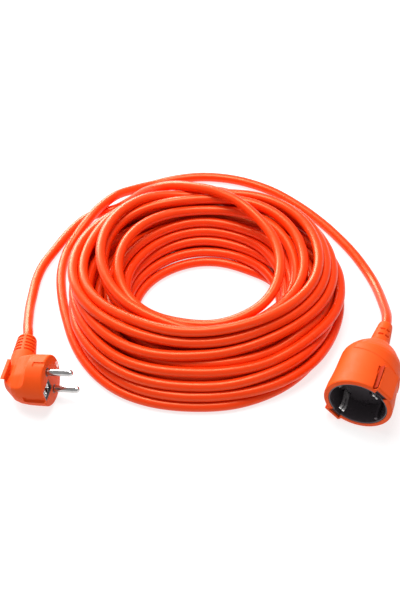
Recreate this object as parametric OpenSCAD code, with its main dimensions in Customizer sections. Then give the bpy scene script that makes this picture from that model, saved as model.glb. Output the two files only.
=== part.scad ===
// Grounded extension lead: a long round three-core cable wound into a loose coil,
// with a right-angled two-pin plug on one end and a coupler socket on the other.
// Millimetres, +Z up, everything rests on z = 0. The origin is the middle of the
// footprint. The plug's pins point along +X, the socket's mouth along -Y.

/* [Cable] */
// Outer diameter of the round sheath
cable_d = 7.6; // [6.8:0.1:8.4]
// Diameter of one insulated core inside the sheath
core_d = 2.6; // [2.2:0.1:2.8]
// Diameter of the bare copper bundle of one core
strand_d = 1.4; // [1.0:0.1:1.6]

/* [Coil] */
// Outer radius of the wound coil
coil_outer_r = 99; // [90:1:104]
// Radius of the hole through the coil
coil_inner_r = 49; // [44:1:54]
// Height of the wound coil
coil_h = 48; // [45:1:54]

/* [Plug] */
// Radius of the plug's round face
plug_r = 18.4; // [18:0.1:18.8]
// Depth of the plug behind its face
plug_depth = 33.5; // [32:0.5:36]
// Diameter of the two current pins
pin_d = 4.8; // [4.7:0.05:4.8]
// Length of the pins in front of the face
pin_length = 19; // [18:0.5:19]
// Distance between the two pins, centre to centre
pin_pitch = 19; // [18.8:0.1:19.2]
// Distance from the pin line to the centre of the earth receptacle
receptacle_offset = 10; // [9.6:0.1:10.4]

/* [Socket] */
// Outer radius of the shell at its mouth
mouth_r = 24.4; // [24:0.1:25]
// Radius of the recess that takes a plug
recess_r = 19.8; // [19.5:0.1:20]
// Depth of the recess
recess_depth = 17.5; // [17:0.5:18]
// Diameter of the pin holes in the recess floor
pin_hole_d = 5.4; // [5.1:0.1:5.6]
// Height of the flat pads on the shell, from the axis
pad_r = 27.2; // [26.5:0.1:27.5]

/* [Hidden] */
$fn = 64;

orange = [1.0, 0.28, 0.06];
cable_orange = [0.95, 0.18, 0.02];
black_plastic = [0.05, 0.05, 0.06];
cream_plastic = [0.85, 0.83, 0.75];
nickel = [0.78, 0.78, 0.76];
copper = [0.80, 0.45, 0.25];
brass_tone = [0.82, 0.68, 0.35];

// Where the layout's coil centre sits, so that the footprint is centred on the origin
layout_shift = [0.5, -29.5, 0];
coil_centre = [0, 11, 0];

// The plug lies on its round face and its tail, pins tipped up a little
plug_pos = [-108.6, -68.6, 18.3];
plug_yaw = -10.5;
plug_pitch = 10;
neck_lean = 8;
tail_x = plug_depth - 2.5;
// the lower side of the tapered body lies flat on the floor
tail_r = plug_r - (tail_x - 1) * tan(plug_pitch);
neck_x = -24;
neck_start = 20;
neck_end = 38;

// The socket lies on its rim and one pad, its mouth towards -Y
socket_pos = [106, -94.2, 25.1];
socket_heading = -111.2;
socket_roll = -40;
shell_length = 55;
boot_length = 21;
sheath_start = 60;

cable_r = cable_d / 2;
pin_r = pin_d / 2;
shank_r = pin_r - 0.6;
pin_half = pin_pitch / 2;
hole_r = pin_hole_d / 2;
front_wall = 3.5;
bridge_depth = 9;
bridge_back = front_wall + bridge_depth;
insert_r = recess_r + 1.1;
floor_thick = 4;
floor_back = recess_depth + floor_thick;
shutter_gap = 0.3;
shutter_thick = 2.4;
block_front = floor_back + shutter_thick + 2 * shutter_gap;
block_back = 36;
post_r = 2;
running_gap = 0.08;
fit_gap = 0.05;

// Route of the plug's lead, from the strain relief over the floor and onto the coil
plug_route = [
    [-131.3, -15, 11.5], [-132.3, -3, 8.5], [-133, 10, 5.5], [-132.4, 24, 4],
    [-131, 40, 3.8], [-127, 56, 3.8], [-119, 73, 3.8], [-109, 92, 3.8],
    [-97, 108, 3.8], [-84, 115, 3.8], [-72, 119, 4.4], [-60, 119, 13],
    [-48, 115, 27], [-36, 108.5, 38.5], [-24, 104, 45], [-9, 97.5, 49.5],
    [8, 90, 52.5], [24, 79.5, 53.5],
];

// Route of the socket's lead, from the strain relief round behind the coil to its foot
socket_route = [
    [135.6, -13, 22.5], [136, -3, 18.5], [135.7, 8, 14.3], [135, 20.5, 10], [133.3, 34, 6],
    [129, 49, 4], [121.5, 66, 3.8], [111.5, 83, 3.8], [98, 102, 3.8],
    [80, 122, 3.8], [57, 141, 3.8], [30, 153.5, 3.8], [2, 158, 3.8],
    [-22, 155, 3.8], [-44, 147.5, 4], [-60, 138.5, 7], [-73, 127.5, 11],
    [-85, 113, 11.8], [-94, 99, 10.5], [-102, 86, 7], [-108, 74, 4.2],
    [-111, 61, 3.8], [-112, 45, 3.8], [-110.5, 29, 3.8], [-107.5, 13, 3.8],
    [-103, -3, 3.8], [-97, -18, 3.8],
];

function unit(v) = v / norm(v);
function turn_z(v, a) = [v.x * cos(a) - v.y * sin(a), v.x * sin(a) + v.y * cos(a), v.z];
function turn_y(v, a) = [v.x * cos(a) + v.z * sin(a), v.y, -v.x * sin(a) + v.z * cos(a)];

// A point of the plug's own frame, in the layout
function from_plug(v) = plug_pos + turn_z(turn_y(v, -plug_pitch), plug_yaw);
// A point along the plug's neck, in the plug's own frame
function on_neck(t) = [neck_x - t * sin(neck_lean), t * cos(neck_lean), 0];
// A point on the socket's axis, in the layout
function on_socket_axis(depth) = socket_pos + turn_z([-depth, 0, 0], socket_heading);

// One ring of a swept tube, square to the path there
function ring(p, dir, r, sides) =
    let (side = unit(cross(dir, [0, 0, 1])), top = cross(side, dir))
    [for (k = [0:sides - 1]) p + r * (cos(k * 360 / sides) * side + sin(k * 360 / sides) * top)];

module swept_tube(path, r, sides = 10) {
    n = len(path);
    points = [for (i = [0:n - 1])
        each ring(path[i], unit(path[min(i + 1, n - 1)] - path[max(i - 1, 0)]), r, sides)];
    walls = [for (i = [0:n - 2], k = [0:sides - 1])
        let (a = i * sides + k, b = i * sides + (k + 1) % sides)
        [a, b, b + sides, a + sides]];
    start_cap = [for (k = [sides - 1:-1:0]) k];
    end_cap = [for (k = [0:sides - 1]) (n - 1) * sides + k];
    polyhedron(points, concat([start_cap], walls, [end_cap]));
}

module at_plug() {
    translate(layout_shift + plug_pos) rotate([0, 0, plug_yaw]) rotate([0, -plug_pitch, 0]) children();
}

// Along the neck: x across, y along the cable
module at_neck() {
    at_plug() translate([neck_x, 0, 0]) rotate([0, 0, neck_lean]) children();
}

// Inside the socket: x out of the mouth, y across the pin holes, z across the earth clips
module at_socket() {
    translate(layout_shift + socket_pos) rotate([0, 0, socket_heading])
        rotate([socket_roll, 0, 0]) children();
}

// A round bar along x from x0 to x1
module bar_x(r, x0, x1) {
    translate([x0, 0, 0]) rotate([0, 90, 0]) cylinder(r = r, h = x1 - x0);
}

// A round bar along y from y0 to y1
module bar_y(r, y0, y1) {
    translate([0, y0, 0]) rotate([-90, 0, 0]) cylinder(r = r, h = y1 - y0);
}

// A box given by its two corners
module block(low, high) {
    translate(low) cube(high - low);
}

// A solid turned about x from [radius, x] points
module turned_x(profile) {
    rotate([0, 90, 0]) rotate_extrude() polygon(profile);
}

// ---- plug ----

module plug_body() {
    color(orange) {
        difference() {
            union() {
                at_plug() turned_x([[0, 0], [plug_r - 1, 0], [plug_r, -1],
                    [tail_r, -tail_x], [tail_r - 2.5, -plug_depth], [0, -plug_depth]]);
                at_neck() bar_y(9, 2, neck_start - 1);
            }
            at_plug() plug_hollows();
            at_neck() bar_y(4.2, 0, neck_start);
        }
    }
}

module plug_hollows() {
    bar_x(13.5, -22, -front_wall);
    bar_x(11, -27, -21);
    for (s = [-1, 1]) {
        translate([0, 0, s * pin_half]) bar_x(shank_r + fit_gap, -front_wall - 1, 1);
        // notches for the earth blades
        block([-14, min(s * 14.4, s * 20), -4.3], [1, max(s * 14.4, s * 20), 4.3]);
        // grooves that clear a wall socket's guide ribs
        block([-12, -2.2, min(s * 17, s * 20)], [1, 2.2, max(s * 17, s * 20)]);
    }
    // window over the earth receptacle
    block([-front_wall - 1, -15, -4.3], [1, -4.5, 4.3]);
    // way for the strap behind the bridge
    block([-14, -15, -3.1], [-bridge_back, 15, 3.1]);
}

module plug_strain_relief() {
    color(orange) at_neck() difference() {
        rotate([-90, 0, 0]) rotate_extrude()
            polygon([[0, -neck_start + 1], [8.8, -neck_start + 1], [8.6, -neck_start - 3],
                [7, -neck_end + 1.5], [5.6, -neck_end], [0, -neck_end]]
                * [[1, 0], [0, -1]]);
        bar_y(cable_r + fit_gap, neck_start - 2, neck_end + 1);
    }
}

module plug_bridge() {
    color(cream_plastic) at_plug() difference() {
        bar_x(13.45, -bridge_back, -front_wall);
        for (s = [-1, 1]) translate([0, 0, s * pin_half]) bar_x(shank_r + fit_gap, -bridge_back - 1, 0);
        translate([0, -receptacle_offset, 0]) bar_x(3.6, -bridge_back - 1, 0);
        block([-front_wall - 0.85, -15, -4.1], [0, -4.6, 4.1]);
    }
}

// Pin with a domed tip, a collar behind the bridge and a crimp tail
module plug_pin(side) {
    color(nickel) at_plug() translate([0, 0, side * pin_half])
        turned_x([[0, -17.5], [strand_d / 2 + 0.7, -17.5], [strand_d / 2 + 0.7, -14], [3.3, -14],
            [3.3, -bridge_back], [shank_r, -bridge_back], [shank_r, 0], [pin_r, 0], [pin_r, pin_length - 2],
            [pin_r * 0.86, pin_length - 0.8], [pin_r * 0.5, pin_length - 0.15], [0, pin_length]]);
}

module plug_pin_live() {
    plug_pin(1);
}

module plug_pin_neutral() {
    plug_pin(-1);
}

module plug_earth_strap() {
    color(nickel) at_plug() difference() {
        union() {
            for (s = [-1, 1])
                block([-13.9, min(s * 14.45, s * 15.25), -4], [-0.6, max(s * 14.45, s * 15.25), 4]);
            block([-13.9, -15, -3], [-bridge_back - 0.1, 15, 3]);
        }
        translate([0, -receptacle_offset, 0]) bar_x(3.0, -15, -12);
    }
}

module plug_earth_receptacle() {
    color(nickel) at_plug() difference() {
        union() {
            block([-front_wall - 0.8, -14.3, -4], [-front_wall, -4.7, 4]);
            translate([0, -receptacle_offset, 0]) bar_x(3.5, -bridge_back, -front_wall);
        }
        translate([0, -receptacle_offset, 0]) bar_x(2.6, -bridge_back - 1, 0);
    }
}

// The ends of the three cores, in the plug's frame: live, neutral, earth
core_ends = [[-20.5, 0, pin_half], [-20.5, 0, -pin_half], [-20.5, 5.5, 0]];

module plug_crimps() {
    color(brass_tone) at_plug() for (e = core_ends) translate([0, e.y, e.z]) difference() {
        bar_x(2.3, e.x + 0.3, -14.1);
        bar_x(strand_d / 2 + 0.75, e.x, -14);
    }
}

module plug_strands() {
    color(copper) at_plug() for (e = core_ends) translate([0, e.y, e.z])
        bar_x(strand_d / 2, e.x + 0.4, -17.7);
}

// Core k bends from its crimp into the neck, where the three lie round the middle
module plug_core(k) {
    a = 90 + 120 * k;
    off = [cos(a) * 1.55, 0, sin(a) * 1.55];
    e = core_ends[k];
    path = concat([e, e + [-1.6, 0.4, 0]],
        [[-24.2, 3.5 + e.y / 2, e.z * 0.55 + off.z * 0.5]],
        [for (t = [10, 15, neck_start - 0.4]) on_neck(t) + off]);
    swept_tube([for (p = path) layout_shift + from_plug(p)], core_d / 2, 8);
}

module plug_core_live() {
    color("saddlebrown") plug_core(0);
}

module plug_core_neutral() {
    color("royalblue") plug_core(1);
}

module plug_core_earth() {
    color("yellowgreen") plug_core(2);
}

// ---- cable ----

module plug_lead() {
    start = [for (t = [neck_start, neck_end - 5, neck_end + 4]) from_plug(on_neck(t))];
    color(cable_orange)
        swept_tube([for (p = concat(start, plug_route)) layout_shift + p], cable_r);
}

module coil() {
    lean = 14;
    color(cable_orange) translate(layout_shift + coil_centre) rotate_extrude($fn = 96)
        polygon([[coil_inner_r, 3], [coil_inner_r + 3, 0], [coil_outer_r - 4, 0], [coil_outer_r, 4],
            [coil_outer_r, coil_h - lean], [coil_outer_r - lean, coil_h],
            [coil_inner_r + 6, coil_h], [coil_inner_r, coil_h - 6]]);
}

module socket_lead() {
    start = [for (d = [sheath_start, 68, shell_length + boot_length + 1]) on_socket_axis(d)];
    color(cable_orange)
        swept_tube([for (p = concat(start, socket_route)) layout_shift + p], cable_r);
}

// ---- socket ----

module socket_shell() {
    color(orange) at_socket() difference() {
        union() {
            turned_x([[0, 0], [mouth_r - 0.6, 0], [mouth_r, -0.8], [mouth_r - 0.4, -8],
                [22.9, -16], [22.3, -36], [21.4, -40.5], [19.4, -45], [16, -49.5], [11.6, -53],
                [9.2, -shell_length], [0, -shell_length]]);
            for (s = [-1, 1])
                block([-34, -6.5, min(s * 19, s * pad_r)], [-0.4, 6.5, max(s * 19, s * pad_r)]);
            // belt that grips the fingers behind the pads
            turned_x([[0, -33], [22.9, -33], [22.4, -38.5], [0, -38.5]]);
        }
        bar_x(insert_r + fit_gap, -38, 1);
        bar_x(17, -46, -37);
        turned_x([[0, -45.5], [13.5, -45.5], [12, -48], [4.2, -54], [0, -54]]);
        bar_x(4.2, -shell_length - 1, -53);
    }
}

module socket_strain_relief() {
    end = shell_length + boot_length;
    color(orange) at_socket() difference() {
        turned_x([[0, -shell_length], [8.4, -shell_length], [7.8, -shell_length - 4],
            [5.8, -end + 1], [5.1, -end], [0, -end]]);
        bar_x(cable_r + fit_gap, -end - 1, -shell_length + 1);
    }
}

module socket_insert() {
    color(black_plastic) at_socket() {
        difference() {
            bar_x(insert_r, -block_back, -0.5);
            bar_x(recess_r, -recess_depth, 0);
            bar_x(recess_r, -block_back - 1, -floor_back);
            for (s = [-1, 1]) {
                translate([0, s * pin_half, 0]) bar_x(hole_r, -floor_back - 1, 0);
                block([-floor_back - 1, -3.1, min(s * 16, s * 22)], [0, 3.1, max(s * 16, s * 22)]);
            }
        }
        // guide ribs that key a plug's side grooves
        for (s = [-1, 1])
            block([-recess_depth - 0.5, min(s * 17.6, s * (recess_r + 0.5)), -1.3],
                [-1.5, max(s * 17.6, s * (recess_r + 0.5)), 1.3]);
        // post that the shutter turns on
        bar_x(post_r, -block_front, -floor_back + 0.5);
    }
}

module socket_contact_block() {
    color(cream_plastic) at_socket() difference() {
        bar_x(recess_r - 0.05, -block_back, -block_front);
        for (s = [-1, 1]) {
            translate([0, s * pin_half, 0]) bar_x(3.4, -block_back - 1, 0);
            block([-block_back - 1, -2.8, min(s * 15.6, s * 21)], [0, 2.8, max(s * 15.6, s * 21)]);
        }
        bar_x(4.6, -block_front - 2.6, 0);
    }
}

// Sprung tube contact with a wire slit and a crimp tail
module socket_contact(side) {
    color(brass_tone) at_socket() translate([0, side * pin_half, 0]) difference() {
        turned_x([[0, -42], [1.45, -42], [1.45, -38], [3.3, -38], [3.3, -block_front - 0.4],
            [0, -block_front - 0.4]]);
        bar_x(pin_r + fit_gap, -37, 0);
        block([-36, -0.4, 0], [0, 0.4, 4]);
    }
}

module socket_contact_live() {
    socket_contact(1);
}

module socket_contact_neutral() {
    socket_contact(-1);
}

// One bent strip: two sprung arms and the bridge behind the contact block
module socket_earth_clip() {
    color(nickel) at_socket() {
        for (s = [-1, 1]) mirror([0, 0, s < 0 ? 1 : 0])
            translate([0, 2.5, 0]) rotate([90, 0, 0]) linear_extrude(5)
                polygon([[-36.9, 17.2], [-20, 17.2], [-14, 16.6], [-8, 15.6], [-4.5, 16.2], [-1.5, 18.6],
                    [-2, 19.2], [-5, 17.1], [-8, 16.5], [-14, 17.5], [-20, 18.1], [-36.9, 18.1]]);
        block([-36.9, -2.5, -18.1], [-36.1, 2.5, 18.1]);
    }
}

// Rotor with two pads that close the pin holes until both pins push it round
module socket_shutter() {
    front = -floor_back - shutter_gap;
    color("whitesmoke") at_socket() difference() {
        union() {
            bar_x(4.2, front - shutter_thick, front);
            block([front - shutter_thick, -pin_half, -2], [front, pin_half, 2]);
            for (s = [-1, 1]) translate([0, s * pin_half, 0]) bar_x(3.2, front - shutter_thick, front);
        }
        bar_x(post_r + running_gap, front - shutter_thick - 1, front + 1);
    }
}

// Two close turns of wire that push the shutter shut
module socket_shutter_spring() {
    color(nickel) at_socket() for (x = [-1.1, -1.7])
        translate([-block_front + x, 0, 0]) rotate([0, 90, 0]) rotate_extrude()
            translate([3.6, 0]) circle(r = 0.35, $fn = 24);
}

// Rear ends of the three cores in the socket's frame: live, neutral, earth
socket_core_ends = [[-45.3, pin_half, 0], [-45.3, -pin_half, 0], [-45.3, 0, 5]];

module socket_crimps() {
    color(brass_tone) at_socket() for (e = socket_core_ends) translate([0, e.y, e.z]) difference() {
        bar_x(2.2, e.x + 0.2, -38.2);
        bar_x(1.5, e.x, -38);
    }
}

module socket_strands() {
    color(copper) at_socket() for (e = socket_core_ends) translate([0, e.y, e.z])
        bar_x(strand_d / 2, e.x + 0.2, -42.2);
}

// Core k converges from its crimp to the hole at the back of the shell
module socket_core(k) {
    a = -120 * k;
    e = socket_core_ends[k];
    off = [0, cos(a) * 1.55, sin(a) * 1.55];
    path = [e, e + [-1.2, 0, 0], [-50, e.y * 0.42, e.z * 0.42], [-54.5, 0, 0] + off,
        [-sheath_start + 0.4, 0, 0] + off];
    color(k == 0 ? "saddlebrown" : k == 1 ? "royalblue" : "yellowgreen") at_socket()
        rotate([0, 0, 90]) swept_tube([for (p = path) turn_z(p, -90)], core_d / 2, 8);
}

module socket_core_live() {
    socket_core(0);
}

module socket_core_neutral() {
    socket_core(1);
}

module socket_core_earth() {
    socket_core(2);
}

plug_body();
plug_strain_relief();
plug_bridge();
plug_pin_live();
plug_pin_neutral();
plug_earth_strap();
plug_earth_receptacle();
plug_crimps();
plug_strands();
plug_core_live();
plug_core_neutral();
plug_core_earth();
plug_lead();
coil();
socket_lead();
socket_shell();
socket_strain_relief();
socket_insert();
socket_contact_block();
socket_contact_live();
socket_contact_neutral();
socket_earth_clip();
socket_shutter();
socket_shutter_spring();
socket_crimps();
socket_strands();
socket_core_live();
socket_core_neutral();
socket_core_earth();
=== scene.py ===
"""Looks of the grounded extension lead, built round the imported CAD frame. Metres, Z up."""

import math

import bmesh
import bpy
import numpy as np
from mathutils import Matrix, Vector


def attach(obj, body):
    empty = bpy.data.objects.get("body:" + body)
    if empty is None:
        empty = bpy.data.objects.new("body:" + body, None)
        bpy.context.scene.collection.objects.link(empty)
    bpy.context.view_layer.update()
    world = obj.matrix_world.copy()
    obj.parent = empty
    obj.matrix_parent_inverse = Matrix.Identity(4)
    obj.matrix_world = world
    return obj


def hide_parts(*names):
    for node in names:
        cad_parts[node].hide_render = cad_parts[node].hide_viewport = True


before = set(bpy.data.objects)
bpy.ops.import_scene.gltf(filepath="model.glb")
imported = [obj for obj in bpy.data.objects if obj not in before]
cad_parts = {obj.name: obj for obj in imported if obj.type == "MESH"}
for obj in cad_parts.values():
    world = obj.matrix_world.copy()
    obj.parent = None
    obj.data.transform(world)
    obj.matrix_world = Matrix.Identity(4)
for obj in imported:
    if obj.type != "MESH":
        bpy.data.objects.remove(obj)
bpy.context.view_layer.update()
MM = 0.001

# ---- sizes and places shared with the CAD source ----
SHIFT = Vector((0.0005, -0.0295, 0.0))
COIL_CENTRE = (0.0, 0.011)
CABLE_D = 0.0076
CABLE_R = CABLE_D / 2
PLUG_POS, PLUG_YAW, PLUG_PITCH = Vector((-0.1086, -0.0686, 0.0183)), -10.5, 10
NECK_X, NECK_LEAN, NECK_START, NECK_END = -0.024, 8, 0.020, 0.038
SOCKET_POS, SOCKET_HEADING, SOCKET_ROLL = Vector((0.106, -0.0942, 0.0251)), -111.2, -40
SHEATH_START, SHELL_LENGTH, BOOT_LENGTH = 0.060, 0.055, 0.021

PLUG_ROUTE = [
    (-0.1313, -0.015, 0.0115), (-0.1323, -0.003, 0.0085), (-0.133, 0.010, 0.0055), (-0.1324, 0.024, 0.004),
    (-0.131, 0.040, 0.0038), (-0.127, 0.056, 0.0038), (-0.119, 0.073, 0.0038), (-0.109, 0.092, 0.0038),
    (-0.097, 0.108, 0.0038), (-0.084, 0.115, 0.0038), (-0.072, 0.119, 0.0044), (-0.060, 0.119, 0.013),
    (-0.048, 0.115, 0.027), (-0.036, 0.1085, 0.0385), (-0.024, 0.104, 0.045), (-0.009, 0.0975, 0.0495),
    (0.008, 0.090, 0.0525), (0.024, 0.0795, 0.0535),
]
SOCKET_ROUTE = [
    (0.1356, -0.013, 0.0225), (0.136, -0.003, 0.0185), (0.1357, 0.008, 0.0143), (0.135, 0.0205, 0.010),
    (0.1333, 0.034, 0.006), (0.129, 0.049, 0.004), (0.1215, 0.066, 0.0038), (0.1115, 0.083, 0.0038),
    (0.098, 0.102, 0.0038), (0.080, 0.122, 0.0038), (0.057, 0.141, 0.0038), (0.030, 0.1535, 0.0038),
    (0.002, 0.158, 0.0038),
    (-0.022, 0.155, 0.0038), (-0.044, 0.1475, 0.004), (-0.060, 0.1385, 0.007), (-0.073, 0.1275, 0.011),
    (-0.085, 0.113, 0.0118), (-0.094, 0.099, 0.0105), (-0.102, 0.086, 0.007), (-0.108, 0.074, 0.0042),
    (-0.111, 0.061, 0.0038), (-0.112, 0.045, 0.0038), (-0.1105, 0.029, 0.0038), (-0.1075, 0.013, 0.0038),
    (-0.103, -0.003, 0.0038), (-0.097, -0.018, 0.0038),
]

# ---- the coil ----
# its outline in millimetres from its centre, at right, back right, back, ... front right
OUTER_BOTTOM = [101, 99, 92, 97, 97, 98, 90.3, 97]
OUTER_TOP = [104, 103, 91, 97, 99, 80, 65.5, 75]
INNER_BOTTOM = [63, 53, 49.5, 49, 57, 54, 52, 57]
INNER_TOP = [65, 66, 67, 64, 61, 54, 50, 55]
# turns in each row from the bottom, then each turn on top as its row and its share of the way in
ROW_COUNTS = [6, 5, 5]
TOP_PLACES = [(3, 1), (4, 0.9), (3, 0.67), (3, 0.33), (3, 0)]
TOP_ROW = 4
ROW_STEP = 6.9
COIL_STARTS_AT, TURNS_START_AT = 210, 180
ROUGHNESS, SEED = 1.3, 4
# the loose turns on top: distance from the centre and height, at left, front left, front, ...
LOOSE_TURNS = [
    [(96, 31.4), (80, 31), (66, 32), (71, 34), (96, 36), (103, 34), (93, 34), (99, 35)],
    [(97, 38), (70, 38), (59.5, 38.5), (65, 40), (90, 41), (100.5, 40), (91, 39.5), (98, 39)],
    [(90, 39), (62, 43), (55.5, 46), (60, 45.5), (84, 46), (95, 46), (86.5, 44.5), (89.5, 49)],
    [(74, 48), (56, 43), (51, 40), (56, 41), (73.5, 45), (82, 48), (79, 48), (86.5, 41.5)],
    [(73, 40), (57, 35), (50, 32.5), (57, 34), (68, 38.5), (74, 44), (72, 40), (70.5, 44)],
    [(63, 43), (52.5, 36.5), (46, 36), (52.5, 43), (56, 50), (64, 53)],
]


# ---- camera ----
def make_camera():
    cam = bpy.data.objects.new("camera", bpy.data.cameras.new("camera"))
    bpy.context.scene.collection.objects.link(cam)
    cam.location = (-0.0022, -0.5643, 0.648)
    cam.rotation_euler = (math.radians(90 - 49.3), 0, 0)
    cam.data.lens, cam.data.sensor_width = 66, 36
    cam.data.clip_start = 0.05
    bpy.context.scene.camera = cam


make_camera()
bpy.context.scene.view_settings.view_transform = "Standard"


# ---- frames of the plug and the socket ----
def turn(axis, degrees):
    return Matrix.Rotation(math.radians(degrees), 4, axis)


AT_PLUG = Matrix.Translation(SHIFT + PLUG_POS) @ turn("Z", PLUG_YAW) @ turn("Y", -PLUG_PITCH)
AT_NECK = AT_PLUG @ Matrix.Translation((NECK_X, 0, 0)) @ turn("Z", NECK_LEAN)
AT_SOCKET = Matrix.Translation(SHIFT + SOCKET_POS) @ turn("Z", SOCKET_HEADING) @ turn("X", SOCKET_ROLL)


# ---- cable ----
def ease(x):
    x = np.clip(x, 0, 1)
    return x * x * (3 - 2 * x)


def spline(knots, at):
    """A smooth curve through knots, at places counted in knots."""
    k = np.asarray(knots, float)
    k = np.vstack([2 * k[0] - k[1], k, 2 * k[-1] - k[-2]])
    i = np.clip(np.floor(at).astype(int), 0, len(k) - 4)
    f = (at - i)[:, None]
    a, b, c, d = k[i], k[i + 1], k[i + 2], k[i + 3]
    return b + 0.5 * f * (c - a + f * (2 * a - 5 * b + 4 * c - d + f * (3 * (b - c) + d - a)))


def round_the_coil(values, theta):
    """Eight compass values as one smooth value at each angle."""
    v = np.array(values, float)
    ring = np.concatenate([v[-1:], v, v[:2]])[:, None]
    return spline(ring, (theta / 45) % 8 + 1)[:, 0]


def resampled(line, step):
    along = np.r_[0, np.cumsum(np.linalg.norm(np.diff(line, axis=0), axis=1))]
    at = np.linspace(0, along[-1], int(round(along[-1] / step)) + 1)
    return np.stack([np.interp(at, along, line[:, k]) for k in range(3)], 1)


def wave(rng, theta, size, parts=5):
    """Gentle irregularity along the cable: a few seeded sines over the whole angle."""
    total = np.zeros_like(theta)
    for _ in range(parts):
        total += np.sin(np.radians(theta * rng.uniform(0.35, 1.7) + rng.uniform(0, 360)))
    return size * total / parts**0.5


def packed_turns(rng, theta):
    """The rows of turns from the bottom outside, in and out again row by row, as (distance, height)."""
    places = []
    for row, count in enumerate(ROW_COUNTS):
        shares = [k / (count - 1) for k in range(count)]
        places += [(row, share) for share in (shares[::-1] if row % 2 else shares)]
    places = np.array(places + TOP_PLACES + TOP_PLACES[-1:], float)
    count = (theta - TURNS_START_AT) / 360
    k = np.minimum(count.astype(int), len(places) - 2)
    step = ease((count - k - 0.12) / 0.76)
    found = []
    outlines = (OUTER_BOTTOM, OUTER_TOP, INNER_BOTTOM, INNER_TOP)
    outer_low, outer_high, inner_low, inner_high = (round_the_coil(o, theta) for o in outlines)
    for row, share in (places[k].T, places[k + 1].T):
        up = row / TOP_ROW
        outer = outer_low * (1 - up**2) + outer_high * up**2
        inner = inner_low * (1 - up**0.7) + inner_high * up**0.7
        found.append(np.stack([outer + (inner - outer) * share, CABLE_R / MM + ROW_STEP * row]))
    distance, height = found[0] + (found[1] - found[0]) * step
    height += ROW_STEP * ease((theta - theta[-1] + 120) / 120)
    return distance + wave(rng, theta, ROUGHNESS), height + wave(rng, theta, ROUGHNESS / 2)


def coil_line():
    """The coil's turns in the layout, in metres, from the bottom outside to the top."""
    rng = np.random.default_rng(SEED)
    turns = sum(ROW_COUNTS) + len(TOP_PLACES)
    theta = np.arange(COIL_STARTS_AT, TURNS_START_AT + 360 * turns, 5.0)
    distance, height = packed_turns(rng, theta)
    knots = [k for one in LOOSE_TURNS for k in one]
    at = np.arange(0, len(knots) - 1 + 1e-6, 1 / 9)
    loose = spline(knots, at)
    theta = np.radians(np.r_[theta, theta[-1] + 5 + 45 * at])
    distance, height = np.r_[distance, loose[:, 0]], np.r_[height, loose[:, 1]]
    height = np.maximum(height, CABLE_R / MM)
    x = COIL_CENTRE[0] + distance * MM * np.cos(theta)
    y = COIL_CENTRE[1] + distance * MM * np.sin(theta)
    return np.stack([x, y, height * MM], 1)


def near_pairs(p, reach, skip):
    """Pairs of points nearer than reach that are more than skip apart along the cable."""
    cell = np.floor((p - p.min(0)) / reach).astype(np.int64) + 1
    wide = cell.max(0) + 2
    key = (cell[:, 0] * wide[1] + cell[:, 1]) * wide[2] + cell[:, 2]
    order = np.argsort(key, kind="stable")
    keys, found = key[order], []
    for dx, dy, dz in np.ndindex(3, 3, 3):
        other = key + ((dx - 1) * wide[1] + dy - 1) * wide[2] + dz - 1
        low = np.searchsorted(keys, other, "left")
        count = np.searchsorted(keys, other, "right") - low
        i = np.repeat(np.arange(len(p)), count)
        place = np.arange(count.sum()) - np.repeat(np.cumsum(count) - count, count)
        j = order[np.repeat(low, count) + place]
        good = (j - i > skip) & (j < len(p) - 1)
        i, j = i[good], j[good]
        close = ((p[i] - p[j]) ** 2).sum(1) < reach * reach
        found.append(np.stack([i[close], j[close]]))
    return np.concatenate(found, 1)


def gaps(p, i, j):
    """Where segments i and j come nearest, and the way from one to the other."""
    a, b, r = p[i + 1] - p[i], p[j + 1] - p[j], p[i] - p[j]
    aa, bb, ab = (a * a).sum(1), (b * b).sum(1), (a * b).sum(1)
    ar, br = (a * r).sum(1), (b * r).sum(1)
    s = np.clip((ab * br - ar * bb) / np.maximum(aa * bb - ab * ab, 1e-14), 0, 1)
    t = np.clip((ab * s + br) / bb, 0, 1)
    s = np.clip((t * ab - ar) / aa, 0, 1)
    return s, t, (p[i] + a * s[:, None]) - (p[j] + b * t[:, None])


def settled(p, loose):
    """The line with its turns pushed a diameter apart, its bends eased and the floor under it."""
    rounds, last_rounds, firm_rounds = 150, 40, 100
    firm_pull, light_pull, fall = 0.02, 0.006, 0.03 * MM
    ease_share, last_ease_share, push_share = 0.4, 0.1, 1.1
    p, planned = p.copy(), p.copy()
    step = np.linalg.norm(np.diff(p, axis=0), axis=1).mean()
    free = loose[:, None].astype(float)
    for k in range(rounds + last_rounds):
        if k % 8 == 0:
            i, j = near_pairs(p, CABLE_D + step + 2 * MM, math.ceil(3 * CABLE_D / step))
        if k < rounds:
            p += free * (firm_pull if k < firm_rounds else light_pull) * (planned - p)
            p[:, 2:] -= free * fall
        for _ in range(3 if k < rounds else 1):
            eased = np.zeros_like(p)
            eased[2:-2] = (4 * (p[1:-3] + p[3:-1]) - p[:-4] - p[4:]) / 6 - p[2:-2]
            p += free * (ease_share if k < rounds else last_ease_share) * eased
        s, t, gap = gaps(p, i, j)
        far = np.linalg.norm(gap, axis=1)
        push = (np.maximum(CABLE_D - far, 0) / 2 / np.maximum(far, 1e-9))[:, None] * gap
        moved, weight = np.zeros_like(p), np.zeros(len(p))
        touch = (far < CABLE_D).astype(float)
        for at, share, way in ((i, 1 - s, 1), (i + 1, s, 1), (j, 1 - t, -1), (j + 1, t, -1)):
            np.add.at(moved, at, way * push * share[:, None])
            np.add.at(weight, at, share * touch)
        p += free * push_share * moved / np.maximum(weight, 1)[:, None]
        p[:, 2] = np.maximum(p[:, 2], CABLE_R)
    return p


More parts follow.
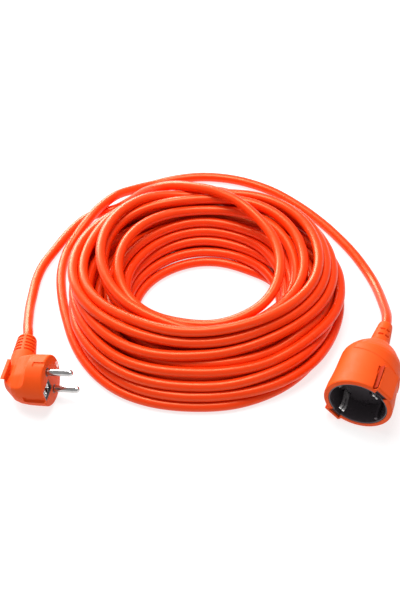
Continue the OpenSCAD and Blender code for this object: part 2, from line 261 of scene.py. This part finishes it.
def cable_line():
    """The whole centreline from the plug's neck to the socket, in the row frame."""
    neck = [AT_NECK @ Vector((0, t, 0)) - SHIFT for t in (NECK_START, NECK_END - 0.005, NECK_END + 0.004)]
    depths = (SHEATH_START, 0.068, SHELL_LENGTH + BOOT_LENGTH + 0.001)
    boot = [AT_SOCKET @ Vector((-d, 0, 0)) - SHIFT for d in depths]
    socket_end = np.array(boot + SOCKET_ROUTE)
    plug_end = np.array(neck + PLUG_ROUTE)
    from_socket, from_plug = (resampled(spline(k, np.arange(0, len(k) - 1 + 1e-6, 0.1)), 0.005)
                              for k in (socket_end, plug_end))
    whole = np.vstack([from_plug, coil_line()[::-1], from_socket[::-1]])
    start, end = len(from_plug), len(whole) - len(from_socket)
    along = np.r_[0, np.cumsum(np.linalg.norm(np.diff(whole, axis=0), axis=1))]
    line = resampled(whole, 0.006)
    at = np.linspace(0, along[-1], len(line))
    overlap = 0.03
    line = settled(line, (at > along[start] - overlap) & (at < along[end] + overlap))
    return line + np.array(SHIFT)


# ---- materials ----
def new_material(name):
    mat = bpy.data.materials.new(name)
    mat.use_nodes = True
    nodes = mat.node_tree.nodes
    nodes.clear()
    out = nodes.new("ShaderNodeOutputMaterial")
    bsdf = nodes.new("ShaderNodeBsdfPrincipled")
    mat.node_tree.links.new(bsdf.outputs[0], out.inputs[0])
    return mat, nodes, mat.node_tree.links, bsdf


def noise(nodes, links, place, scale, detail=3.0, stretch=(1, 1, 1)):
    """A noise texture over the object's own coordinates."""
    mapping = nodes.new("ShaderNodeMapping")
    mapping.inputs["Scale"].default_value = stretch
    links.new(place.outputs["Object"], mapping.inputs[0])
    tex = nodes.new("ShaderNodeTexNoise")
    tex.inputs["Scale"].default_value = scale
    tex.inputs["Detail"].default_value = detail
    links.new(mapping.outputs[0], tex.inputs[0])
    return tex


def ramp(nodes, links, source, stops):
    """Colours or greys at places along the source's value."""
    node = nodes.new("ShaderNodeValToRGB")
    elements = node.color_ramp.elements
    while len(elements) < len(stops):
        elements.new(0.5)
    for element, (place, colour) in zip(elements, stops):
        element.position = place
        element.color = (*colour, 1) if len(colour) == 3 else colour
    links.new(source, node.inputs[0])
    return node


def grey(value):
    return (value, value, value)


def add_bump(nodes, links, bsdf, sources):
    """Stacks bumps, each (height output, strength, distance in metres)."""
    normal = None
    for height, strength, distance in sources:
        bump = nodes.new("ShaderNodeBump")
        bump.inputs["Strength"].default_value = strength
        bump.inputs["Distance"].default_value = distance
        links.new(height, bump.inputs["Height"])
        if normal:
            links.new(normal, bump.inputs["Normal"])
        normal = bump.outputs[0]
    links.new(normal, bsdf.inputs["Normal"])


def plastic(name, colour, dark, rough, spread=0.06, grain=0.12, grain_scale=2600,
            tint=(1, 1, 1), specular=0.5):
    """Moulded plastic: slight colour drift, fine grain and a few duller patches."""
    mat, nodes, links, bsdf = new_material(name)
    place = nodes.new("ShaderNodeTexCoord")
    broad = noise(nodes, links, place, 35, 4)
    fine = noise(nodes, links, place, grain_scale, 2)
    drift = ramp(nodes, links, broad.outputs[0], [(0.3, dark), (0.7, colour)])
    links.new(drift.outputs[0], bsdf.inputs["Base Color"])
    dull = noise(nodes, links, place, 160, 5)
    patches = ramp(nodes, links, dull.outputs[0], [(0.35, grey(rough - spread)), (0.7, grey(rough + spread))])
    links.new(patches.outputs[0], bsdf.inputs["Roughness"])
    bsdf.inputs["Specular Tint"].default_value = (*tint, 1)
    bsdf.inputs["Specular IOR Level"].default_value = specular
    add_bump(nodes, links, bsdf, [(dull.outputs[0], 0.03, 0.0003), (fine.outputs[0], grain, 0.00008)])
    return mat


def metal(name, colour, rough, brushed=(1, 1, 1)):
    """Plated or drawn metal: a little stained, with fine lines."""
    mat, nodes, links, bsdf = new_material(name)
    place = nodes.new("ShaderNodeTexCoord")
    lines = noise(nodes, links, place, 1400, 3, brushed)
    stain = noise(nodes, links, place, 220, 4)
    darker = tuple(c * 0.78 for c in colour)
    tone = ramp(nodes, links, stain.outputs[0], [(0.3, darker), (0.65, colour)])
    links.new(tone.outputs[0], bsdf.inputs["Base Color"])
    sheen = ramp(nodes, links, lines.outputs[0], [(0.3, grey(rough * 0.7)), (0.7, grey(rough * 1.5))])
    links.new(sheen.outputs[0], bsdf.inputs["Roughness"])
    bsdf.inputs["Metallic"].default_value = 1.0
    add_bump(nodes, links, bsdf, [(lines.outputs[0], 0.08, 0.00005)])
    return mat


sheath_mat = plastic("orange_sheath", (0.88, 0.040, 0.002), (0.84, 0.036, 0.0015), 0.32, 0.04,
                     grain=0.03, grain_scale=1800, tint=(1, 0.78, 0.38), specular=0.55)
shell_mat = plastic("orange_shell", (0.80, 0.082, 0.009), (0.76, 0.070, 0.007), 0.52, 0.05,
                    grain=0.2, tint=(1, 0.85, 0.6), specular=0.16)
black_mat = plastic("black_insert", (0.070, 0.058, 0.066), (0.058, 0.048, 0.055), 0.32, 0.06, 0.15)
cream_mat = plastic("cream_plastic", (0.72, 0.69, 0.60), (0.64, 0.61, 0.52), 0.45)
white_mat = plastic("shutter_white", (0.75, 0.75, 0.72), (0.68, 0.68, 0.65), 0.4)
nickel_mat = metal("nickel", (0.60, 0.59, 0.58), 0.14)
# painted shade: a darker copy of the shell's orange, for the strip that stands in for the shadow beside one
# pad
pad_shade_mat = plastic("orange_painted_shade", (0.34, 0.022, 0.003), (0.30, 0.018, 0.002), 0.6, 0.05,
                  grain=0.1, tint=(1, 0.85, 0.6), specular=0.1)
clip_mat = metal("clip_nickel", (0.95, 0.93, 0.92), 0.42)
brass_mat = metal("contact_brass", (0.83, 0.62, 0.30), 0.22)
copper_mat = metal("copper", (0.85, 0.42, 0.26), 0.28, (1, 8, 8))
core_mats = {
    "live": plastic("core_brown", (0.15, 0.06, 0.03), (0.12, 0.045, 0.02), 0.4),
    "neutral": plastic("core_blue", (0.03, 0.12, 0.45), (0.02, 0.10, 0.38), 0.4),
    "earth": plastic("core_green", (0.35, 0.55, 0.05), (0.28, 0.48, 0.04), 0.4),
}


def finish_piece(obj, mat, body="lead"):
    obj.data.materials.clear()
    obj.data.materials.append(mat)
    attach(obj, body)


# ---- mesh helpers; sizes given to them are in millimetres ----
def mesh_object(name, points, faces, place):
    mesh = bpy.data.meshes.new(name)
    mesh.from_pydata([tuple(p) for p in np.asarray(points) * MM], [], faces)
    mesh.transform(place)
    obj = bpy.data.objects.new(name, mesh)
    bpy.context.scene.collection.objects.link(obj)
    return obj


def skin(name, rings, place):
    """A closed solid through rings of points, each ring with the same count."""
    rings = np.asarray(rings)
    count, around = rings.shape[:2]
    faces = []
    for k in range(0, (count - 1) * around, around):
        for j in range(around):
            after = (j + 1) % around
            faces.append((k + after, k + j, k + around + j, k + around + after))
    faces += [tuple(range(around)), tuple(reversed(range((count - 1) * around, count * around)))]
    obj = mesh_object(name, rings.reshape(-1, 3), faces, place)
    outward(obj)
    return obj


def outward(obj):
    bm = bmesh.new()
    bm.from_mesh(obj.data)
    bmesh.ops.recalc_face_normals(bm, faces=bm.faces)
    bm.to_mesh(obj.data)
    bm.free()


def turned(name, profile, place, steps=96, offset=(0, 0)):
    """A solid turned about the local X axis; the profile is (x, radius) from one end to the other."""
    angle = np.linspace(0, 2 * np.pi, steps, endpoint=False)
    rings = [np.stack([np.full(steps, x), offset[0] + r * np.cos(angle), offset[1] + r * np.sin(angle)], 1)
             for x, r in profile]
    return skin(name, rings, place)


def from_depths(name, backs, radius_at, place):
    """A solid through rings at depths behind X = 0, as far from the X axis as radius_at(depth, angle) says."""
    angle = np.linspace(0, 2 * np.pi, 288, endpoint=False)
    rings = []
    for back in backs:
        radius = radius_at(back, angle)
        rings.append(np.stack([np.full(len(angle), -back), radius * np.cos(angle), radius * np.sin(angle)], 1))
    return skin(name, rings, place)


def ring_band(name, profile, place, steps=96, offset=(0, 0)):
    """A ring turned about the local X axis from a closed profile of (x, radius)."""
    angle = np.linspace(0, 2 * np.pi, steps, endpoint=False)
    points, n = [], len(profile)
    for a in angle:
        points += [(x, offset[0] + r * math.cos(a), offset[1] + r * math.sin(a)) for x, r in profile]
    faces = [(k * n + j, k * n + (j + 1) % n, (k + 1) % steps * n + (j + 1) % n, (k + 1) % steps * n + j)
             for k in range(steps) for j in range(n)]
    obj = mesh_object(name, points, faces, place)
    outward(obj)
    return obj


def block(name, low, high, place, edge=0.3):
    """A box with rounded edges."""
    bm = bmesh.new()
    bmesh.ops.create_cube(bm, size=1)
    low, high = Vector(low) * MM, Vector(high) * MM
    for v in bm.verts:
        v.co = Vector(((low[k] + high[k]) / 2 + v.co[k] * (high[k] - low[k])) for k in range(3))
    if edge:
        bmesh.ops.bevel(bm, geom=bm.edges, offset=edge * MM, segments=3, profile=0.5, affect="EDGES")
    mesh = bpy.data.meshes.new(name)
    bm.to_mesh(mesh)
    bm.free()
    mesh.transform(place)
    obj = bpy.data.objects.new(name, mesh)
    bpy.context.scene.collection.objects.link(obj)
    return obj


def baked(obj):
    """The object's modifiers worked into its mesh."""
    bpy.context.view_layer.update()
    mesh = bpy.data.meshes.new_from_object(obj.evaluated_get(bpy.context.evaluated_depsgraph_get()))
    obj.modifiers.clear()
    obj.data = mesh


def prism(name, outline, low, high, place):
    """A flat shape in X and Z, extruded in Y."""
    n = len(outline)
    points = [(x, y, z) for y in (low, high) for x, z in outline]
    faces = [(k, (k + 1) % n, n + (k + 1) % n, n + k) for k in range(n)]
    faces += [tuple(range(n)), tuple(range(n, 2 * n))]
    obj = mesh_object(name, points, faces, place)
    outward(obj)
    return obj


def combined(obj, operation, others):
    """The object with others added or taken away."""
    for other in others:
        mod = obj.modifiers.new(operation, "BOOLEAN")
        mod.operation, mod.object, mod.solver = operation, other, "EXACT"
    baked(obj)
    for other in others:
        bpy.data.objects.remove(other)


def cut(obj, *cutters):
    combined(obj, "DIFFERENCE", cutters)


def join_up(obj, *others):
    combined(obj, "UNION", others)


def shaded(obj, angle=32):
    obj.data.shade_smooth()
    obj.data.set_sharp_from_angle(angle=math.radians(angle))


def soft_min(a, b, width):
    return (a + b - np.sqrt((a - b) ** 2 + width**2)) / 2


def between(x, low, high, edge=0.15):
    """1 between low and high, 0 outside, with soft edges."""
    return ease((x - low) / edge + 0.5) * ease((high - x) / edge + 0.5)


# ---- the plug's visible parts; millimetres in the plug's own frame ----
PLUG_R, PLUG_REST_SLOPE = 18.4, 5.3 / 30
PIN_HALF = 9.5
RECEPTACLE_Y, RECEPTACLE_R = -10, 2.7
WINDOW_LOW, WINDOW_HIGH, WINDOW_WALL = (-15.25, -4.85), (-2.05, 4.85), 0.8
# radius of the plug's round outline at distances behind its face
PLUG_OUTLINE = [(0, 17.3), (0.25, 17.85), (0.7, 18.25), (1.3, 18.4), (8, 18.3), (14, 18.1), (20, 17.3),
                (24, 15.9), (27, 13.2), (30, 10.6), (31.6, 9.2), (32.5, 8.0), (33, 6.8), (33.1, 6.2)]
# height of the thumb grip above the axis at the same kind of depths
GRIP_FLOOR = [(12.3, 19), (12.8, 18.2), (13.3, 16.6), (14.1, 15), (16, 13.4), (18.3, 12.4), (20.3, 12.1),
              (22, 11.6), (24, 11), (26, 9.6), (28, 8.6), (33, 8)]
GRIP_STARTS, GRIP_LEAN = 12.3, 0.35
GRIP_SLOT, SLOT_WIDE, SLOT_FLOOR = (27.3, 30.1), (-8.6, 9.0), 5.2
GRIP_LIP, LIP_HALF, LIP_TOP = (30.1, 33), 9.4, 11.2
GUIDE_HALF, GUIDE_LENGTH, GUIDE_FLOOR = 1.8, 8.5, 17.55
NOTCH_HALF, NOTCH_LENGTH, NOTCH_FLOOR = 2.2, 15.5, 16.3


def plug_radius(back, angle):
    """Distance of the plug's skin from its axis, at a depth behind the face and an angle round it."""
    depths, radii = np.array(PLUG_OUTLINE).T
    radius = np.interp(back, depths, radii) + 0 * angle
    y, z = np.cos(angle), np.sin(angle)
    up = np.maximum(np.abs(z), 1e-3)
    floor = np.interp(back, *np.array(GRIP_FLOOR).T) + 20 * (back < GRIP_STARTS)
    tilt = z - GRIP_LEAN * y
    lean = np.where(tilt > 0.02, (floor + 1.8) / np.maximum(tilt, 0.02), 90)
    grip = soft_min(soft_min(radius, floor / up, 0.5), lean, 0.5)
    radius = np.where(z > 0, grip, radius)
    slot = between(radius * y, *SLOT_WIDE, 0.5) * (z > 0) * between(back, *GRIP_SLOT)
    radius = radius + slot * (np.minimum(radius, SLOT_FLOOR / up) - radius)
    lip = between(LIP_TOP / up * y, -LIP_HALF, LIP_HALF, 0.6) * (z > 0) * between(back, *GRIP_LIP, 0.5)
    radius = radius + lip * (np.maximum(radius, LIP_TOP / up) - radius)
    rest = PLUG_R - 0.1 - PLUG_REST_SLOPE * (back - 1)
    radius = np.where(z < 0, soft_min(radius, rest / up, 0.2), radius)
    guide = between(18.0 * y, -GUIDE_HALF, GUIDE_HALF, 0.3) * between(back, -1, GUIDE_LENGTH, 0.3)
    radius = radius + guide * (np.minimum(radius, GUIDE_FLOOR / up) - radius)
    side = np.maximum(np.abs(y), 1e-3)
    notch = between(16.5 * z, -NOTCH_HALF, NOTCH_HALF, 0.35) * between(back, -1, NOTCH_LENGTH, 0.3) * (y < 0)
    return radius + notch * (np.minimum(radius, NOTCH_FLOOR / side) - radius)


def make_plug_shell():
    backs = np.unique(np.r_[0, 0.12, 0.25, 0.45, 0.7, 1.0, 1.3, np.arange(2, 27, 0.5), np.arange(12, 16, 0.15),
                            8.3, 8.4, 8.6, 8.7, 15.3, 15.4, 15.6, 15.7, np.arange(27, 33.1, 0.13), 33.1])
    body = from_depths("plug_shell", backs, plug_radius, AT_PLUG)
    join_up(body, turned("plug_neck", [(0, 8.2), (6, 9.2), (12, 9.2), (19.2, 9.0)], AT_NECK @ turn("Z", 90)))
    cutters = [block("window", (-2.4, -15.3, -4.9), (1, -2.0, 4.9), AT_PLUG, 0.5),
               turned("bore", [(-13, RECEPTACLE_R), (0, RECEPTACLE_R)], AT_PLUG, 48, (RECEPTACLE_Y, 0))]
    cutters += [turned("pin_recess", [(-0.9, 3.3), (1, 3.3)], AT_PLUG, 48, (0, s * PIN_HALF)) for s in (-1, 1)]
    cut(body, *cutters)
    shaded(body)
    finish_piece(body, shell_mat)
    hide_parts("plug_body")


def window_block(name, back, front, inset, edge):
    """A block over the face's window, or inset from its edges, between two places along X."""
    (low_y, low_z), (high_y, high_z) = WINDOW_LOW, WINDOW_HIGH
    low, high = (back, low_y + inset, low_z + inset), (front, high_y - inset, high_z - inset)
    return block(name, low, high, AT_PLUG, edge)


def make_plug_face():
    liner = window_block("earth_window_frame", -2.35, -0.15, 0, 0.3)
    cut(liner, window_block("hollow", -3, 1, WINDOW_WALL, 0))
    shaded(liner)
    finish_piece(liner, black_mat)

    plate = window_block("earth_contact_plate", -1.7, -1.0, WINDOW_WALL, 0.1)
    cut(plate, turned("hole", [(-3, RECEPTACLE_R), (1, RECEPTACLE_R)], AT_PLUG, 48, (RECEPTACLE_Y, 0)))
    shaded(plate)
    finish_piece(plate, nickel_mat)
    tongue = block("earth_contact_tongue", (-1.9, RECEPTACLE_Y - 0.9, -2.9), (-1.3, RECEPTACLE_Y + 0.7, 2.9),
                   AT_PLUG, 0.2)
    shaded(tongue)
    finish_piece(tongue, nickel_mat)
    blade = block("earth_blade_side", (-0.6, 13.9, -3.4), (0.15, 16.4, 2.2), AT_PLUG, 0.1)
    shaded(blade)
    finish_piece(blade, clip_mat)

    for name, side in (("pin_collar_live", -1), ("pin_collar_neutral", 1)):
        profile = [(-0.85, 2.45), (-0.25, 2.45), (-0.15, 2.6), (-0.15, 3.1), (-0.25, 3.25), (-0.85, 3.25)]
        collar = ring_band(name, profile, AT_PLUG, 48, (0, side * PIN_HALF))
        shaded(collar)
        finish_piece(collar, black_mat)


# ---- the socket's visible parts; millimetres in the socket's own frame ----
PAD_REACH, RECESS_R, INSERT_R, RECESS_DEPTH = 26.8, 19.8, 20.9, 17.5
PAD_HALF, PAD_LENGTH = 7, 21
CLIP_HALF, SLOT_HALF = 2.4, 3.1
# radius of the shell at distances behind its mouth
SHELL_OUTLINE = [(0, 23.4), (0.2, 23.9), (0.6, 24.25), (1.1, 24.4), (8, 24.2), (13, 23.6), (20, 23.0),
                 (28, 22.7), (36, 22.4), (39, 21.7), (42, 20.2), (45, 18.2), (48, 15.7), (51, 12.7),
                 (53.5, 10.2), (55, 8.9), (55.4, 8.3)]
# the raised band slants back round the shell: it spans these degrees, and drops behind its rear edge
BAND_SPAN, BAND_RISE, BAND_DROP = (34, 168), 0.45, 1.3
# one arm of the earth clip, as (x, z) round its strip
EARTH_CLIP = [(-36.9, 17.2), (-20, 17.2), (-14, 16.4), (-9, 15.2), (-6, 14.8), (-3, 15.1), (-1.2, 15.9),
              (-0.9, 16.6), (-1.5, 17.0), (-3, 16.2), (-6, 15.8), (-9, 16.1), (-14, 17.3), (-20, 18.1),
              (-36.9, 18.1)]


def shell_radius(back, angle):
    """Distance of the socket's skin from its axis, at a depth behind the mouth and an angle round it."""
    depths, radii = np.array(SHELL_OUTLINE).T
    y, z = np.cos(angle), np.sin(angle)
    up = np.maximum(np.abs(z), 1e-3)
    radius = np.interp(back, depths, radii) + 0 * angle
    turned_by = np.degrees(angle)
    along = (turned_by - 72) / 80
    front_edge, rear_edge = 24 + 7.5 * along, 28.2 + 9 * along
    step = BAND_DROP * ease((back - rear_edge) / 0.6) - BAND_RISE * ease((back - front_edge) / 0.6)
    radius = radius - between(turned_by, *BAND_SPAN, 3) * ease((50 - back) / 6) * step
    reach = PAD_REACH - 0.03 * back - 0.9 * ease((0.9 - back) / 0.9)
    pad = between(reach / up * y, -PAD_HALF, PAD_HALF, 0.5) * between(back, -1, PAD_LENGTH, 0.5)
    radius = radius + pad * (np.maximum(radius, reach / up) - radius)
    groove = between(radius * y, -8.4, -7.1, 0.3) * between(back, 0.5, PAD_LENGTH, 0.5)
    return radius - 1.6 * groove


def dovetail(name, side, deep, grow=0.0):
    """A notch that widens outwards, in the rim at one end of the Z axis."""
    outline = [(-3.9, 19.8), (-5.3, 24.0), (5.3, 24.0), (3.9, 19.8)]
    points = [(x, y * (1 + grow), side * z) for x in deep for y, z in outline]
    faces = [(k, (k + 1) % 4, 4 + (k + 1) % 4, 4 + k) for k in range(4)] + [(0, 1, 2, 3), (4, 5, 6, 7)]
    obj = mesh_object(name, points, faces, AT_SOCKET)
    outward(obj)
    return obj


def both_sides(name, low, high, axis, edge=0):
    """A block in the socket and its twin on the other side of an axis."""
    twin_low, twin_high = list(low), list(high)
    twin_low[axis], twin_high[axis] = -high[axis], -low[axis]
    return [block(name, twin_low, twin_high, AT_SOCKET, edge), block(name, low, high, AT_SOCKET, edge)]


def make_socket_shell():
    backs = np.unique(np.r_[0, 0.1, 0.2, 0.4, 0.6, 0.85, 1.1, np.arange(2, 21, 0.6), np.arange(20, 46, 0.25),
                            np.arange(46, 55.4, 0.6), 55, 55.4])
    shell = from_depths("socket_housing", backs, shell_radius, AT_SOCKET)
    bore_r = INSERT_R + 0.06
    cut(shell, turned("bore", [(-36.2, bore_r), (1, bore_r)], AT_SOCKET, 128),
        dovetail("notch", 1, (-6, 1)), dovetail("notch", -1, (-6, 1)))
    shaded(shell)
    finish_piece(shell, shell_mat)
    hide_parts("socket_shell")


def make_socket_recess():
    outside = [(-36, INSERT_R), (-0.5, INSERT_R), (-0.25, INSERT_R - 0.25)]
    insert = turned("socket_recess", outside, AT_SOCKET, 128)
    rim_r = RECESS_R + 0.3
    recess = [(-RECESS_DEPTH, RECESS_R), (-0.6, RECESS_R), (-0.2, rim_r), (1, rim_r)]
    hole = [(-23, 2.7), (-17.9, 2.7), (-17.4, 3.2), (1, 3.2)]
    cut(insert, turned("recess", recess, AT_SOCKET, 128),
        turned("behind", [(-37, RECESS_R), (-21.5, RECESS_R)], AT_SOCKET, 96),
        *[turned("hole", hole, AT_SOCKET, 48, (s * PIN_HALF, 0)) for s in (-1, 1)],
        *both_sides("slot", (-23, -SLOT_HALF, 16), (1, SLOT_HALF, 20.6), 2))
    join_up(insert, turned("post", [(-24.5, 2), (-21, 2)], AT_SOCKET, 48),
            *both_sides("rib", (-RECESS_DEPTH - 0.5, 17.6, -1.3), (-1.5, 20.3, 1.3), 1, 0.35))
    shaded(insert)
    finish_piece(insert, black_mat)
    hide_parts("socket_insert")
    clear_r = INSERT_R + 0.02
    for name, side in (("rim_key_upper", 1), ("rim_key_lower", -1)):
        key = dovetail(name, side, (-5.95, -1.6), -0.01)
        cut(key, turned("clear", [(-7, clear_r), (1, clear_r)], AT_SOCKET, 128))
        shaded(key)
        finish_piece(key, black_mat)


def make_pad_painted_shade():
    """A dark orange strip along one edge of a pad: painted shade that stands in for the shadow on the pad's
    side wall.
    """
    # a thin strip in darker orange on the pad's side wall: painted shade, not a real gap
    gap = block("pad_painted_shade", (-20.6, -7.5, 21.6), (-0.9, -7.05, PAD_REACH - 0.75), AT_SOCKET, 0.1)
    shaded(gap)
    finish_piece(gap, pad_shade_mat)


def make_earth_clip():
    clip = prism("earth_clip", EARTH_CLIP, -CLIP_HALF, CLIP_HALF, AT_SOCKET)
    join_up(clip, prism("arm", [(x, -z) for x, z in EARTH_CLIP], -CLIP_HALF, CLIP_HALF, AT_SOCKET),
            block("base", (-36.9, -CLIP_HALF, -18.1), (-36.1, CLIP_HALF, 18.1), AT_SOCKET, 0))
    cut(clip, *both_sides("split", (-13, -0.45, 14), (1, 0.45, 20), 2))
    shaded(clip)
    finish_piece(clip, clip_mat)
    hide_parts("socket_earth_clip")


# ---- the boots; along the cable, round it from +Z towards the plug's face ----
def make_boot(name, profile, grooves, spine, place, node, reach, depth):
    """A boot with short grooves in columns either side of two spines."""
    groove_half = 0.65
    angle = np.linspace(0, 2 * np.pi, 180, endpoint=False)
    along, radii = np.array(profile, float).T
    steps = np.unique(np.r_[along, np.arange(along[0], along[-1], 0.25)])
    off = np.degrees(np.abs((angle - math.radians(spine) + np.pi / 2) % np.pi - np.pi / 2))
    column = between(off, *reach, 5)
    rings = []
    for t in steps:
        groove = sum(between(t, g - groove_half, g + groove_half, 0.5) for g in grooves)
        radius = np.interp(t, along, radii) - depth * groove * column
        rings.append(np.stack([radius * np.sin(angle), np.full(len(angle), t), radius * np.cos(angle)], 1))
    boot = skin(name, rings, place)
    bore_r = CABLE_R / MM + 0.08
    cut(boot, turned("bore", [(along[0] - 1, bore_r), (along[-1] + 1, bore_r)], place @ turn("Z", 90), 48))
    shaded(boot, 40)
    finish_piece(boot, shell_mat)
    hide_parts(node)


def make_cable():
    line = cable_line()
    curve = bpy.data.curves.new("cable", "CURVE")
    curve.dimensions = "3D"
    curve.bevel_depth = CABLE_R
    curve.bevel_resolution = 5
    curve.use_fill_caps = True
    points = curve.splines.new("POLY")
    dense = spline(line, np.arange(0, len(line) - 1 + 1e-6, 0.5))
    points.points.add(len(dense) - 1)
    points.points.foreach_set("co", np.c_[dense, np.ones(len(dense))].ravel())
    points.use_smooth = True
    cable = bpy.data.objects.new("cable", curve)
    bpy.context.scene.collection.objects.link(cable)
    finish_piece(cable, sheath_mat)
    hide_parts("plug_lead", "coil", "socket_lead")
    length = float(np.linalg.norm(np.diff(dense, axis=0), axis=1).sum())
    i, j = near_pairs(line, 0.016, 4)
    nearest = np.linalg.norm(gaps(line, i, j)[2], axis=1).min()
    print("cable length", round(length, 3), "nearest turns", nearest)


PLUG_BOOT = [(18.4, 8.9), (20, 8.8), (22, 8.6), (30, 7.8), (36, 7.2), (37.1, 6.7), (37.7, 5.9), (38, 4.6)]
PLUG_BOOT_GROOVES = [22 + 3.17 * k for k in range(5)]
SOCKET_BOOT = [(54, 7.9), (55.5, 7.7), (58, 7.2), (64, 6.6), (70, 5.9), (74, 5.4), (75.4, 5.0), (76, 4.4)]
SOCKET_BOOT_GROOVES = [61.6, 67.2]

make_cable()
make_plug_shell()
make_plug_face()
make_boot("plug_boot", PLUG_BOOT, PLUG_BOOT_GROOVES, 8, AT_NECK, "plug_strain_relief", (9, 74), 1.1)
make_socket_shell()
make_socket_recess()
make_pad_painted_shade()
make_earth_clip()
make_boot("socket_boot", SOCKET_BOOT, SOCKET_BOOT_GROOVES, -23, AT_SOCKET @ turn("Z", 90),
          "socket_strain_relief", (5, 38), 1.2)


# ---- floor and light ----
def make_floor():
    bpy.ops.mesh.primitive_plane_add(size=6)
    floor = bpy.context.object
    floor.name = "floor"
    mat, nodes, links, bsdf = new_material("floor")
    bsdf.inputs["Base Color"].default_value = (0.30, 0.30, 0.30, 1)
    bsdf.inputs["Emission Color"].default_value = (1, 1, 1, 1)
    bsdf.inputs["Emission Strength"].default_value = 0.74
    bsdf.inputs["Roughness"].default_value = 0.9
    floor.data.materials.append(mat)


def area_light(name, place, size, power):
    """A white panel light that faces the middle of the coil."""
    data = bpy.data.lights.new(name, "AREA")
    data.shape = "RECTANGLE"
    data.size, data.size_y = size
    data.energy = power
    light = bpy.data.objects.new(name, data)
    bpy.context.scene.collection.objects.link(light)
    light.location = place
    light.rotation_euler = (-Vector(place)).to_track_quat("-Z", "Y").to_euler()


def make_light():
    world = bpy.data.worlds.new("studio")
    bpy.context.scene.world = world
    world.use_nodes = True
    background = world.node_tree.nodes["Background"]
    background.inputs["Color"].default_value = (1, 1, 1, 1)
    background.inputs["Strength"].default_value = 0.42
    area_light("back_left", (-0.55, 0.95, 0.5), (1.0, 0.7), 28)
    area_light("overhead", (-0.1, 0.2, 1.25), (0.7, 0.6), 15)


make_floor()
make_light()

# ---- finishes of the CAD pieces that stay ----
CAD_FINISH = {
    "plug_bridge": cream_mat, "socket_contact_block": cream_mat, "socket_shutter": white_mat,
    "plug_pin_live": nickel_mat, "plug_pin_neutral": nickel_mat, "plug_earth_strap": nickel_mat,
    "plug_earth_receptacle": nickel_mat, "socket_shutter_spring": nickel_mat,
    "socket_contact_live": brass_mat, "socket_contact_neutral": brass_mat, "plug_crimps": brass_mat,
    "socket_crimps": brass_mat, "plug_strands": copper_mat, "socket_strands": copper_mat,
}
for end in ("plug", "socket"):
    for core, mat in core_mats.items():
        CAD_FINISH[f"{end}_core_{core}"] = mat
for node_name, mat in CAD_FINISH.items():
    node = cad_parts[node_name]
    node.data.materials.clear()
    node.data.materials.append(mat)
